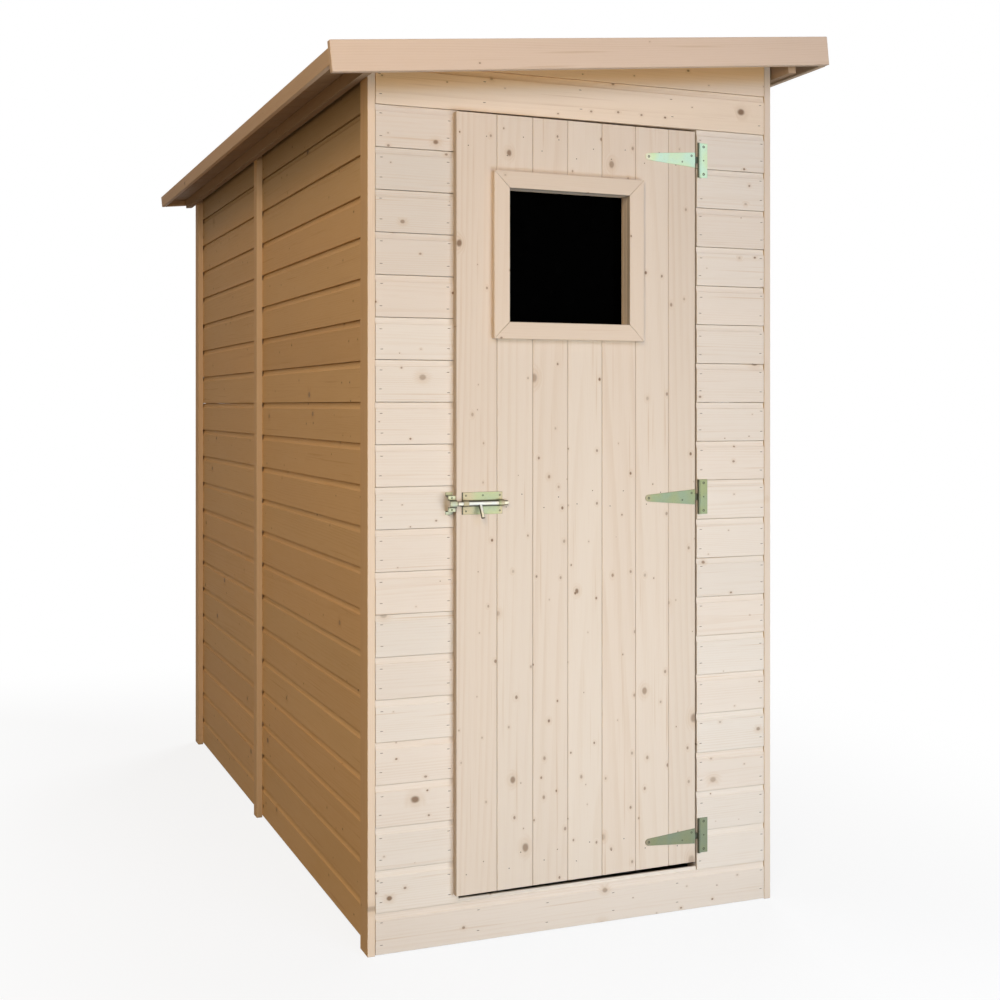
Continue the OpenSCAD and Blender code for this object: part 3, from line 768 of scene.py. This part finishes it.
def dressed_timber(node, kind, body, turn=None, arris=0.0008, one_board=False):
    """A packed wooden node with its edges eased. The grain of each solid follows its
    longest side, seen square in the frame that turn gives."""
    back = (turn or Matrix.Identity(4)).inverted()
    timber = Timber(sum(map(ord, node)))
    figure = timber.new_figure() if one_board else None
    for work in packed_pieces(node):
        spans = []
        for axis in range(3):
            places = [(back @ v.co)[axis] for v in work.verts]
            spans.append(max(places) - min(places))
        longest, middle, shortest = sorted(range(3), key=lambda axis: -spans[axis])
        soften(work, arris)
        timber.gather(work, lambda co: Vector((back @ co)[i] for i in
                                              (longest, shortest, middle)),
                      *(figure or timber.new_figure()))
        work.free()
    return timber.make(node + "_planed", kind, body, node)


# ---- Boards ----

def eased_rectangle(depth, height, groove):
    """A rectangle with its corners cut off, as grooves between boards."""
    return [(groove, 0), (0, groove), (0, height - groove), (groove, height),
            (depth - groove, height), (depth, height - groove), (depth, groove),
            (depth - groove, 0)]


def shiplap(height, scoop):
    """Outline of one shiplap board: a plain lip below, and above a scoop of that depth,
    which ends behind the next board's lip."""
    boards = bpy.context.scene.shed_boards
    top = height - boards.joint_gap
    out = [(0, 0)]
    if height > boards.scoop_height * 1.5:
        for angle in range(0, 91, 15):
            turn = math.radians(angle)
            out.append((scoop * math.sin(turn), top - boards.scoop_height * math.cos(turn)))
    else:
        out.append((0, top))
    return out + [(boards.thickness, top), (boards.thickness, 0)]


def roof_span(node):
    """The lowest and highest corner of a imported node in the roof's own frame."""
    back = ROOF_TURN.inverted()
    points = [back @ v.co for v in NODES[node].data.vertices]
    return [Vector(most(p[i] for p in points) for i in range(3)) for most in (min, max)]


def under_roof_cut():
    """The plane of the roof boards' underside."""
    low = roof_span("roof_boards")[0]
    return ROOF_TURN @ Vector((0, 0, low.z)), ROOF_TURN.to_3x3() @ Vector(UP)


def wall_boards(name, kind, node, along, inward, foot=None, head=None, cuts=()):
    """Courses of shiplap from foot to head, or over the whole height of the node."""
    boards = bpy.context.scene.shed_boards
    low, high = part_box(node)
    foot = low.z if foot is None else foot
    head = high.z if head is None else head
    run = run_of(low, high, along)
    scoop = boards.scoop_depth if kind == "side board" else boards.front_scoop
    timber = Timber(boards.seed + sum(map(ord, name)))
    course = math.floor(foot / boards.pitch + SLACK)
    while course * boards.pitch < head - SLACK:
        bottom = max(foot, course * boards.pitch)
        top = (course + 1) * boards.pitch
        place = place_in(Vector((low.x, low.y, bottom)), high, along, inward)
        timber.plank(place, shiplap(top - bottom, scoop), run, cuts)
        course += 1
    timber.make(name, kind, "shed", node)


class SHED_OT_wall_boards(Operator):
    """Lays the shiplap boards of the four walls"""
    bl_idname = "shed.wall_boards"
    bl_label = "Wall boards"

    def execute(self, context):
        boards = context.scene.shed_boards
        roof = (under_roof_cut(),)
        # On the bolt side the boards over this course are darker: painted shade towards the
        # wall's top
        last_pale_course = 16
        change = last_pale_course * boards.pitch
        for name, kind, node, foot, head, cuts in (
                ("front_boards_left_laid", "front board", "front_boards_left", None, change, ()),
                ("front_boards_left_upper", "shaded front board", "front_boards_left", change,
                 None, ()),
                ("front_boards_right_laid", "front board", "front_boards_right", None, None,
                 ()),
                ("front_boards_over_door", "cream front board", "front_boards_top", None, None,
                 roof)):
            wall_boards(name, kind, node, RIGHT, BACKWARD, foot, head, cuts)
        self.sill(boards)
        for name, node, along, inward in (
                ("back_wall_boards", "back_boards", LEFT, FORWARD),
                ("left_boards_front_laid", "left_boards_front", FORWARD, RIGHT),
                ("left_boards_back_laid", "left_boards_back", FORWARD, RIGHT),
                ("right_boards_front_laid", "right_boards_front", BACKWARD, LEFT),
                ("right_boards_back_laid", "right_boards_back", BACKWARD, LEFT)):
            wall_boards(name, "side board", node, along, inward, cuts=roof)
        return {"FINISHED"}

    def sill(self, boards):
        """The lowest front board, with the tongue that stands up in the doorway."""
        low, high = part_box("front_boards_sill")
        timber = Timber(boards.seed + SILL_SEED)
        timber.plank(place_in(low, high, RIGHT, BACKWARD),
                     shiplap(boards.pitch - low.z, boards.front_scoop), high.x - low.x)
        tongue, lap = 0.006, 0.002
        near = WALL_Y + (boards.thickness - tongue) / 2
        corner = Vector((FRONT_HIGH.x, near, boards.pitch - lap))
        timber.plank(place_in(corner, corner, RIGHT, BACKWARD),
                     rectangle(tongue, high.z - boards.pitch + lap),
                     FRONT_RIGHT_LOW.x - FRONT_HIGH.x)
        timber.make("front_sill_board", "front board", "shed",
                    "front_boards_sill")


class SHED_OT_strips(Operator):
    """Fixes the corner strips and the strips over the panel joints"""
    bl_idname = "shed.strips"
    bl_label = "Side strips"

    def execute(self, context):
        boards = context.scene.shed_boards
        roof = (under_roof_cut(),)
        for index, (node, kind, inward) in enumerate((
                ("corner_strip_front_left", "strip", RIGHT),
                ("corner_strip_front_right", "grey strip", LEFT),
                ("corner_strip_back_left", "strip", RIGHT),
                ("corner_strip_back_right", "strip", LEFT),
                ("joint_strip_left", "strip", RIGHT),
                ("joint_strip_right", "strip", LEFT))):
            timber = Timber(boards.seed + STRIP_SEED + index)
            timber.board(*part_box(node), UP, inward, cuts=roof, arris=0.0007)
            timber.make(node + "_planed", kind, "shed", node)
        return {"FINISHED"}


class SHED_OT_roof(Operator):
    """Lays the roof boards and fixes the fascias, eaves strip and verge board"""
    bl_idname = "shed.roof"
    bl_label = "Roof"

    def execute(self, context):
        boards = context.scene.shed_boards
        for index, (node, kind, along, inward, arris) in enumerate((
                ("fascia_front", "fascia", RIGHT, BACKWARD, 0.0012),
                ("fascia_back", "fascia", RIGHT, BACKWARD, 0.0012),
                ("eaves_strip", "roof board", FORWARD, RIGHT, 0.001),
                ("verge_board", "roof board", FORWARD, RIGHT, 0.001))):
            timber = Timber(boards.seed + ROOF_SEED + index)
            timber.board(*roof_span(node), along, inward, ROOF_TURN, arris=arris)
            timber.make(node + "_planed", kind, "shed", node)
        self.deck(boards)
        return {"FINISHED"}

    def deck(self, boards):
        """The roof boards, laid across the slope from the front to the back."""
        low, high = roof_span("roof_boards")
        timber = Timber(boards.seed + DECK_SEED)
        y = low.y
        while y < high.y - SLACK:
            end = min(y + boards.pitch, high.y)
            corner = Vector((low.x, y + boards.joint_gap / 2, low.z))
            profile = eased_rectangle(high.z - low.z, end - y - boards.joint_gap,
                                      boards.roof_groove)
            timber.plank(ROOF_TURN @ place_in(corner, high, RIGHT, DOWN), profile,
                         high.x - low.x, arris=0.0004)
            y = end
        timber.make("roof_boards_laid", "deck board", "shed", "roof_boards")


class SHED_OT_battens(Operator):
    """Frames the walls and the roof in sawn battens"""
    bl_idname = "shed.battens"
    bl_label = "Battens"

    def execute(self, context):
        for node in ("front_studs", "front_rails", "side_studs", "side_rails",
                     "back_studs", "back_rails"):
            dressed_timber(node, "sawn batten", "shed")
        for node in ("roof_purlin", "roof_bearers"):
            dressed_timber(node, "bearer", "shed", ROOF_TURN)
        return {"FINISHED"}


# ---- Door and ironmongery ----

class SHED_OT_door(Operator):
    """Boards the door and fixes its ledges, brace and mouldings"""
    bl_idname = "shed.door"
    bl_label = "Door"

    def execute(self, context):
        for node in DOOR_BOARDS:
            dressed_timber(node, "door board", "door", DOOR_TURN,
                           arris=0.0005, one_board=True)
        dressed_timber("door_ledges", "sawn batten", "door", DOOR_TURN)
        moulding = dressed_timber("window_frame", "trim", "door", DOOR_TURN,
                                  arris=0.001)
        self.shade_reveal(moulding.data)
        dressed_timber("window_frame_inside", "sawn batten", "door", DOOR_TURN)
        for piece in packed_pieces("window_pane"):
            soften(piece, 0.0004)
            solid_piece("pane", piece, shade_painted_pane(), "door", "window_pane")
        return {"FINISHED"}

    def shade_reveal(self, mesh):
        """Darkens the frame's faces round the opening: painted shade in the reveal, darkest on
        its level faces.
        """
        square_on, level_tone, upright_tone = 0.9, -6.5, -4.0
        low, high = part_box("window_pane")
        tone = mesh.attributes["tone"].data
        for face in mesh.polygons:
            inward = (low + high) / 2 - face.center
            level = face.normal.z * math.copysign(1, inward.z)
            upright = face.normal.x * math.copysign(1, inward.x)
            if max(level, upright) > square_on:
                for index in face.vertices:
                    tone[index].value = level_tone if level > square_on else upright_tone


class SHED_OT_ironmongery(Operator):
    """Hangs the hinges and the bolt, and drives their screws"""
    bl_idname = "shed.ironmongery"
    bl_label = "Hinges and bolt"

    far = 10.0                                  # past the end of every piece
    rounding = 0.0003

    def execute(self, context):
        self.hinges(context.scene.shed_colours)
        self.bolt(context.scene.shed_colours)
        self.screws()
        return {"FINISHED"}

    def band(self, left, right, fade):
        """A block from left to right, as high and as deep as any piece."""
        return (left, -self.far, -self.far), (right, self.far, self.far), fade

    def hinges(self, colours):
        """The three hinges, each with its own film, clean at the strap's end, and with painted
        shade over the strap's knuckle and the barrel, where the gap by the door's edge is dark."""
        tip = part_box("hinge_straps")[0].x
        strap_ends = (self.band(tip - self.far, tip + 0.006, fade=0.012),)
        # Painted shade: the knuckle and the barrel are painted dark, as the gap beside them
        knuckle = (self.band(DOOR_EDGE_X - 0.0005, PIN.x - 0.001, fade=0.0006),)
        barrel = (self.band(PIN.x - self.far, PIN.x - 0.0012, fade=0.0012),)
        films = (("foot", colours.hinge_foot, 0.5), ("middle", colours.hinge_middle, 0.6),
                 ("head", colours.hinge_head, 0.7))
        for node, body, bare, shade_blocks in (("hinge_plates", "shed", (), barrel),
                                        ("hinge_straps", "door", strap_ends, knuckle)):
            one = node.removesuffix("s")
            for (level, film, dull), piece in zip(films, packed_pieces(node)):
                soften(piece, self.rounding)
                zinc = zinc_plate(f"zinc {level} {one}", film, dull, bare, shade_blocks)
                solid_piece(f"{one}_{level}", piece, zinc, body, node)

    def bolt(self, colours):
        """The bolt's plate is worn at its ends, with painted shade behind the bar and along its
        left edge; all three pieces get painted shade and dark reflection on turned faces.
        """
        far = self.far
        low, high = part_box("bolt_plate")
        slide = (low.z + high.z) / 2
        sheet = high.y - 0.006                  # the guides reach further forward
        ends = (self.band(low.x, low.x + 0.016, fade=0.022),
                self.band(high.x - 0.004, high.x, fade=0.008))
        # Painted shade behind the bar and along the plate's left edge
        behind_bar = ((low.x, sheet, slide - 0.0058), (high.x, far, slide + 0.0058), 0.0022)
        left_edge = ((low.x - far, sheet, -far), (low.x + 0.0022, far, far), 0.0014)
        dull = 0.55
        # The last number is painted shade and dark reflection on faces turned aside
        for node, body, film, bare, shade_blocks, flanks in (
                ("bolt_plate", "door", colours.zinc, ends, (behind_bar, left_edge), 0.6),
                ("bolt_keeper", "shed", colours.keeper, (), (), 0.85),
                ("bolt_bar", "bolt", colours.bar, (), (), 0.92)):
            zinc = zinc_plate("zinc " + node, film, dull, bare, shade_blocks, flanks)
            for piece in packed_pieces(node):
                soften(piece, self.rounding)
                solid_piece(node + "_plated", piece, zinc, body, node)

    def screws(self):
        """Each head's place is followed by its radius."""
        strap_face = WALL_Y - 0.002
        on_wall, on_door = [], []
        plate_x = (PIN.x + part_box("hinge_plates")[1].x) / 2 + 0.0015
        for low, high in heights_of("hinge_plates"):
            level = (low + high) / 2
            for rise, radius in ((-0.031, 0.0031), (0.031, 0.0031), (0.0, 0.0018)):
                on_wall.append((plate_x, strap_face, level + rise, radius))
            for along, rise, radius in ((0.010, 0.009, 0.0027), (0.034, -0.006, 0.0020),
                                        (0.1195, 0.0, 0.0029)):
                on_door.append((DOOR_EDGE_X - along, strap_face, level + rise, radius))
        bolt_radius = 0.0022
        low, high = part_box("bolt_plate")
        for along in (0.009, 0.0475, 0.0865):
            for rise in (-0.0165, 0.0165):
                on_door.append((low.x + along, WALL_Y - 0.0015, (low.z + high.z) / 2 + rise,
                                bolt_radius))
        low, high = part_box("bolt_keeper")
        for rise in (-0.0125, 0.0125):
            on_wall.append(((low.x + high.x) / 2, WALL_Y - 0.019, (low.z + high.z) / 2 + rise,
                            bolt_radius))
        screw = head_metal("screw heads", tuple(bpy.context.scene.shed_colours.screw))
        heads("hinge_and_keeper_screws", on_wall, "shed", screw, 0.0004, recess=True)
        heads("strap_and_bolt_screws", on_door, "door", screw, 0.0004, recess=True)


# ---- Nails ----

def heads(name, spots, body, metal, proud, recess=False, stretch=1.0):
    """Heads at (x, y, z, radius) that face forward, in one mesh. Stretch widens each one
    level, as on a staple."""
    sides = 10
    # Reach as a share of the radius, and lift as a share of how proud the head stands
    profile = [(1.0, -0.4), (1.0, 0.45), (0.86, 1.0), (0.42, 1.0)]
    if recess:
        profile.append((0.34, -0.6))
    turn = DOOR_TURN if body == "door" else Matrix.Identity(4)
    work = bmesh.new()
    for *place, radius in spots:
        rings = []
        for reach, lift in profile:
            ring = []
            for step in range(sides):
                angle = math.tau * step / sides
                corner = Vector((math.cos(angle) * radius * reach * stretch, -lift * proud,
                                 math.sin(angle) * radius * reach))
                ring.append(work.verts.new(turn @ (Vector(place) + corner)))
            rings.append(ring)
        for a, b in zip(rings, rings[1:]):
            for i in range(sides):
                j = (i + 1) % sides
                work.faces.new((a[i], a[j], b[j], b[i]))
        work.faces.new(rings[-1])
        work.faces.new(rings[0][::-1])
    bmesh.ops.recalc_face_normals(work, faces=work.faces)
    solid_piece(name, work, metal, body)


class SHED_OT_nails(Operator):
    """Nails the boards to their battens and to the door's ledges"""
    bl_idname = "shed.nails"
    bl_label = "Nails"

    def execute(self, context):
        boards = context.scene.shed_boards
        chance = random.Random(boards.seed + NAIL_SEED)

        def jitter(amount):
            return chance.uniform(-amount, amount)

        nail = head_metal("nail heads", tuple(context.scene.shed_colours.nail))
        heads("front_staples", self.staples(boards.pitch, jitter), "shed", nail, 0.0002,
              stretch=5.0)
        heads("door_nails", self.door_nails(jitter), "door", nail, 0.0002)
        return {"FINISHED"}

    def staples(self, pitch, jitter):
        """Two rows of staples in each course, at the boards' ends or along the sill, and
        five pairs over the door."""
        radius = 0.0007
        low_row, high_row = 0.023, 0.065
        sill = [-0.24, -0.08, 0.08, 0.24]
        outer = [FRONT_LOW.x + 0.012, FRONT_RIGHT_HIGH.x - 0.008]
        inner = [FRONT_HIGH.x - 0.022, FRONT_RIGHT_LOW.x + 0.010]
        spots = []
        for row in range(int(FRONT_HIGH.z / pitch + 0.01)):
            for rise in (low_row, high_row):
                for x in (outer[0], *(inner if row else sill), outer[1]):
                    spots.append((x + jitter(0.002), WALL_Y, row * pitch + rise + jitter(0.004),
                                  radius))
        margin, pairs = 0.012, 5
        spread = TOP_HIGH.x - TOP_LOW.x - 2 * margin
        for step in range(pairs):
            for rise in (low_row, high_row):
                x = TOP_LOW.x + margin + spread * step / (pairs - 1)
                spots.append((x + jitter(0.004), WALL_Y, TOP_LOW.z + rise + jitter(0.004),
                              radius))
        return spots

    def door_nails(self, jitter):
        """Two nails through each board into each ledge, but none along the brace."""
        tallest_ledge = 0.1                     # the brace is taller
        spots = []
        for low, high in heights_of("door_ledges"):
            if high - low > tallest_ledge:
                continue
            for node in DOOR_BOARDS:
                left, right = (corner.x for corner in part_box(node))
                for share in (0.3, 0.7):
                    spots.append((left + (right - left) * share + jitter(0.006), WALL_Y,
                                  low + (high - low) * share + jitter(0.008), 0.0013))
        return spots


# ---- Stage ----

LAMPS = (
    # Name, place, aim, width and height, power in watts, colour
    ("high key", (0.4, -3.9, 3.0), (0.0, -1.0, 0.9), (1.6, 1.2), 28.0, (0.47, 0.63, 1.0)),
    ("right key", (0.5, -3.4, 0.7), (0.0, -1.0, 0.7), (1.6, 0.8), 18.0, (1.0, 0.88, 0.64)),
    ("low key", (0.3, -2.9, 0.2), (0.1, -1.0, 0.25), (1.6, 0.3), 21.0, (0.67, 0.82, 1.0)),
    ("left key", (-2.0, -3.9, 2.5), (-0.47, -0.6, 0.9), (1.0, 2.4), 66.0, (0.99, 0.78, 0.52)),
    ("left light", (-3.6, -0.3, 0.5), (-0.47, -0.2, 0.7), (2.0, 0.8), 10.0, (1.0, 0.60, 0.18)),
    ("left top light", (-1.9, 0.0, 4.2), (-0.47, 0.0, 0.9), (1.4, 2.4), 13.0, (1.0, 0.52, 0.24)),
    ("back light", (2.6, 3.6, 3.2), (0.0, 0.4, 1.0), (2.4, 2.4), 165.0, (1.0, 0.97, 0.93)),
)


def seen(tree):
    """1 for what the camera sees, straight or in gloss or glass, and 0 for light that
    falls on the shed."""
    rays = add(tree, "ShaderNodeLightPath").outputs
    straight = maths(tree, "MAXIMUM", rays["Is Camera Ray"], rays["Is Glossy Ray"])
    return maths(tree, "MAXIMUM", straight, rays["Is Transmission Ray"])


def plain_shader(tree, kind, tint, **inputs):
    """A plain shader of one colour."""
    return add(tree, kind, {0: tint, **inputs}).outputs[0]


def mix_shader(tree, share, a, b):
    return add(tree, "ShaderNodeMixShader", {0: share, 1: a, 2: b}).outputs[0]


class SHED_OT_stage(Operator):
    """Sets the floor, the lamps, the world and the camera"""
    bl_idname = "shed.stage"
    bl_label = "Stage"

    def execute(self, context):
        scene = context.scene
        self.floor()
        self.world(scene)
        for lamp in LAMPS:
            self.panel_light(*lamp)
        self.camera(scene)
        scene.view_settings.view_transform = "Standard"
        return {"FINISHED"}

    def camera(self, scene):
        camera = bpy.data.cameras.new("camera")
        camera.lens = scene.shed_stage.lens
        camera.sensor_width = 36.0
        camera.shift_y = scene.shed_stage.shift
        camera.clip_end = 200.0
        holder = bpy.data.objects.new("camera", camera)
        holder.location = scene.shed_stage.eye
        holder.rotation_euler = (math.pi / 2, 0.0, -scene.shed_stage.heading)
        scene.collection.objects.link(holder)
        scene.camera = holder

    def panel_light(self, name, place, aim, size, power, tint):
        lamp = bpy.data.lights.new(name, "AREA")
        lamp.shape = "RECTANGLE"
        lamp.size, lamp.size_y = size
        lamp.energy = power
        lamp.color = tint
        holder = bpy.data.objects.new(name, lamp)
        holder.location = place
        away = Vector(place) - Vector(aim)
        holder.rotation_euler = away.to_track_quat("Z", "Y").to_euler()
        holder.visible_camera = False
        bpy.context.scene.collection.objects.link(holder)

    def floor(self):
        reach = 60.0
        mesh = bpy.data.meshes.new("floor")
        mesh.from_pydata([(-reach, -reach, 0), (reach, -reach, 0), (reach, reach, 0),
                          (-reach, reach, 0)], [], [(0, 1, 2, 3)])
        floor = bpy.data.objects.new("floor", mesh)
        bpy.context.scene.collection.objects.link(floor)
        mesh.materials.append(self.ground())

    def ground(self):
        """Nearly white to the eye, with a soft shadow, and darker to the light that it
        throws back on the shed. Under the shed it stays dark, so that the gap below the
        door does too."""
        material, tree = empty_material("floor")
        bounce = plain_shader(tree, "ShaderNodeBsdfDiffuse", (0.15, 0.13, 0.11))
        shaded = plain_shader(tree, "ShaderNodeBsdfDiffuse", (0.80, 0.88, 0.98))
        earth = plain_shader(tree, "ShaderNodeBsdfDiffuse", (0.30, 0.27, 0.24))
        glow = plain_shader(tree, "ShaderNodeEmission", (1.0, 1.0, 1.0), Strength=1.0)
        thickness = bpy.context.scene.shed_boards.thickness
        place = add(tree, "ShaderNodeNewGeometry").outputs["Position"]
        x, y, _ = parts_of(tree, vector_maths(tree, "ABSOLUTE", place))
        past_walls = maths(tree, "MAXIMUM", maths(tree, "SUBTRACT", x, WALL_X - thickness),
                           maths(tree, "SUBTRACT", y, -WALL_Y - thickness))
        outside = maths(tree, "GREATER_THAN", past_walls, 0.0)
        # The shadow shows most close to the walls
        away = remap(tree, past_walls, 0.0, 1.6, to_low=0.86, smooth=True)
        white = maths(tree, "MULTIPLY", away, outside)
        ground = mix_shader(tree, outside, earth, mix_shader(tree, white, shaded, glow))
        add(tree, "ShaderNodeOutputMaterial",
            {0: mix_shader(tree, seen(tree), bounce, ground)})
        return material

    def world(self, scene):
        scene.world = bpy.data.worlds.new("studio")
        scene.world.use_nodes = True
        tree = scene.world.node_tree
        tree.nodes.clear()
        soft = plain_shader(tree, "ShaderNodeBackground", (1.0, 0.75, 0.50), Strength=0.12)
        white = plain_shader(tree, "ShaderNodeBackground", (1.0, 1.0, 1.0), Strength=1.0)
        add(tree, "ShaderNodeOutputWorld", {0: mix_shader(tree, seen(tree), soft, white)})


# ---- Add-on ----

OPERATORS = (SHED_OT_wall_boards, SHED_OT_strips, SHED_OT_roof, SHED_OT_battens,
             SHED_OT_door, SHED_OT_ironmongery, SHED_OT_nails, SHED_OT_stage)
GROUPS = {"shed_boards": ShedBoards, "shed_colours": ShedColours, "shed_stage": ShedStage}


class SHED_PT_panel(Panel):
    bl_idname = "SHED_PT_panel"
    bl_label = "Tool Shed"
    bl_space_type = "VIEW_3D"
    bl_region_type = "UI"
    bl_category = "Tool Shed"

    def draw(self, context):
        for operator in OPERATORS:
            self.layout.operator(operator.bl_idname)


CLASSES = (*GROUPS.values(), *OPERATORS, SHED_PT_panel)


def register():
    for cls in CLASSES:
        bpy.utils.register_class(cls)
    for name, cls in GROUPS.items():
        setattr(bpy.types.Scene, name, PointerProperty(type=cls))


def unregister():
    for name in GROUPS:
        delattr(bpy.types.Scene, name)
    for cls in reversed(CLASSES):
        bpy.utils.unregister_class(cls)


def main():
    register()
    bpy.ops.shed.wall_boards()
    bpy.ops.shed.strips()
    bpy.ops.shed.roof()
    bpy.ops.shed.battens()
    bpy.ops.shed.door()
    bpy.ops.shed.ironmongery()
    bpy.ops.shed.nails()
    bpy.ops.shed.stage()


if __name__ == "__main__":
    main()
